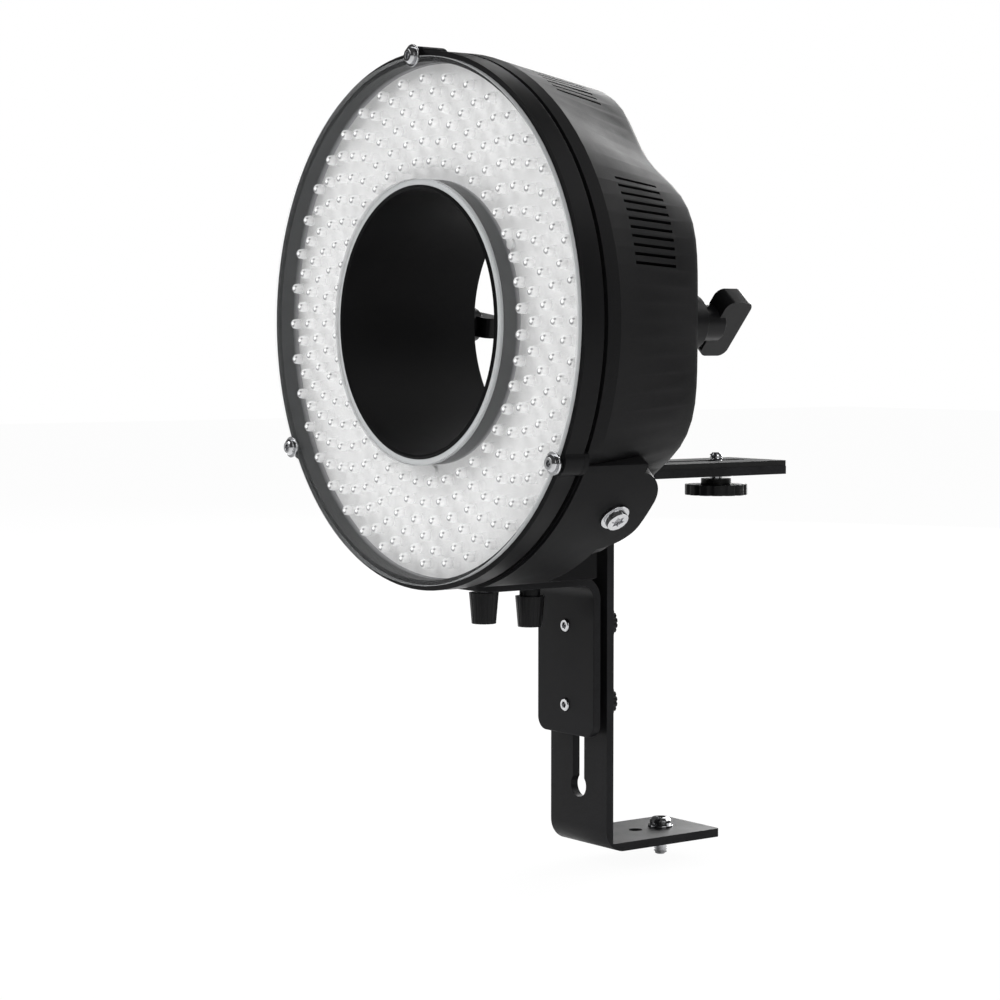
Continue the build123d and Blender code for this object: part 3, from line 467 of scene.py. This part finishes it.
# more opaque towards the lens, so that the painted white of the body shows there
clear = add(tree, "MapRange", {"From Min": board_face - lens_height, "From Max": board_face - foot_height,
                               "To Min": lens_opacity, "To Max": foot_opacity},
            {"Value": along.outputs["Y"]})
opacity = add(tree, "MapRange", {"To Max": mark_opacity}, {"Value": drawn.outputs[0],
                                                           "To Min": clear.outputs[0]})
# painted glow: faint light that the body gives off, except under the painted shade
light = add(tree, "MapRange", {"To Min": painted_lens_glow, "To Max": 0.0}, {"Value": dark.outputs[0]})
shader = add(tree, "BsdfPrincipled", {"Roughness": 0.12, "IOR": 1.54, "Specular IOR Level": 0.25},
             {"Base Color": tint.outputs[0], "Alpha": opacity.outputs[0],
              "Emission Strength": light.outputs[0]})
add(tree, "OutputMaterial", links={"Surface": shader.outputs[0]})

mesh = bmesh.new()
lens_map = mesh.loops.layers.uv.new("lens")
points = [mesh.verts.new((radius * mm, -height * mm, 0)) for radius, height in lamp_profile]
edges = [mesh.edges.new(pair) for pair in zip(points, points[1:])]
bmesh.ops.spin(mesh, geom=points + edges, cent=(0, 0, 0), axis=(0, -1, 0), dvec=(0, 0, 0),
               angle=math.tau, steps=lens_sides, use_merge=True, use_duplicate=False)
bmesh.ops.remove_doubles(mesh, verts=mesh.verts, dist=welded)
bmesh.ops.recalc_face_normals(mesh, faces=mesh.faces)
for face in mesh.faces:
    for loop in face.loops:
        across, up = loop.vert.co.x / mm, loop.vert.co.z / mm
        loop[lens_map].uv = (0.5 + across / lens_map_width, 0.5 + up / lens_map_width)
pattern_points = list(mesh.verts)
pattern = everything(mesh)
for ring_index, ring in enumerate(lamp_rings):
    stagger = (ring_index + 1) % 2 / 2
    for step in range(lamps_per_ring):
        angle = (step + stagger) * math.tau / lamps_per_ring
        copied = bmesh.ops.duplicate(mesh, geom=pattern)["geom"]
        place = Vector((ring * mm * math.cos(angle), board_face,
                        ring_height + ring * mm * math.sin(angle)))
        bmesh.ops.translate(mesh, verts=[item for item in copied if isinstance(item, bmesh.types.BMVert)],
                            vec=place)
bmesh.ops.delete(mesh, geom=pattern_points, context="VERTS")
show(mesh, "lamps_domed", "lamps", epoxy)

# Face plate: 2.5 mm clear cast acrylic, laser cut and flame polished, nearly invisible face on.
# Its cut edges show as pale grey lines, painted light that they gather. The outer line is painted full
# on the lit right side and fades towards the left.
outer_line = (114.7 * mm, 114.9 * mm)  # radii where a line starts and where it is full
inner_line = (62.6 * mm, 62.5 * mm)
inner_strength = 0.85
unlit_side, lit_side = -90.0 * mm, 60.0 * mm  # to the right of the axis
unlit_strength = 0.02
face_opacity, edge_opacity = 0.05, 0.75
wipe_width = 25.0 * mm  # of the marks that wiping leaves
acrylic = bpy.data.materials.new("clear cast acrylic")
tree = empty_tree(acrylic)
place = add(tree, "TexCoord")
radius = axis_distance(tree, place, (plate_low[2] + plate_high[2]) / 2)
# pale edge lines, painted light that the cut edges gather
outer_edge = add(tree, "MapRange", {"From Min": outer_line[0], "From Max": outer_line[1]},
                 {"Value": radius})
inner_edge = add(tree, "MapRange", {"From Min": inner_line[0], "From Max": inner_line[1],
                                    "To Max": inner_strength}, {"Value": radius})
across = add(tree, "SeparateXYZ", links={"Vector": place.outputs["Object"]})
# painted light: the outer line is full on the lit right side and fades to the left
lit = add(tree, "MapRange", {"From Min": unlit_side, "From Max": lit_side, "To Min": unlit_strength},
          {"Value": across.outputs["X"]})
outer_edge = add(tree, "Math", {"operation": "MULTIPLY"}, {0: outer_edge.outputs[0], 1: lit.outputs[0]})
edge = add(tree, "Math", {"operation": "MAXIMUM"}, {0: outer_edge.outputs[0], 1: inner_edge.outputs[0]})
opacity = add(tree, "MapRange", {"To Min": face_opacity, "To Max": edge_opacity},
              {"Value": edge.outputs[0]})
wipe = add(tree, "TexNoise", {"Scale": 1 / wipe_width, "Detail": 3.0},
           {"Vector": place.outputs["Object"]})
gloss = add(tree, "MapRange", {"To Min": 0.03, "To Max": 0.1}, {"Value": wipe.outputs[0]})
shader = add(tree, "BsdfPrincipled", {"Base Color": linear("#bfc1c2"), "IOR": 1.49},
             {"Roughness": gloss.outputs[0], "Alpha": opacity.outputs[0]})
add(tree, "OutputMaterial", links={"Surface": shader.outputs[0]})
dressed("face_plate", acrylic, rounding=0.2)

# Inner pieces: turned brass inserts, a heat spreader of rolled aluminium, and the driver board under
# green mask with its potted parts on ABS posts. They hardly show from outside, so each has the colour,
# the gloss and the fine grain of its material.
brass = finish("turned brass", "#a5854a", "#c2a05c", grain=0.3, depth=0.002, roughness=(0.25, 0.38),
               metallic=1.0)
aluminium = finish("rolled aluminium", "#b4b6b8", "#c8cacc", grain=0.4, depth=0.003,
                   roughness=(0.3, 0.42), metallic=1.0)
green_mask = finish("green solder mask", "#123c22", "#1c5331", grain=0.8, depth=0.01,
                    roughness=(0.3, 0.42))
resin = finish("potting resin", "#161617", "#26262a", grain=0.8, depth=0.02, roughness=(0.4, 0.55))
dressed("base_inserts", brass)
dressed("housing_inserts", brass)
dressed("heat_spreader", aluminium)
dressed("board_posts", abs_black)
dressed("driver_board", green_mask)
dressed("driver_posts", abs_black)
dressed("driver_components", resin)
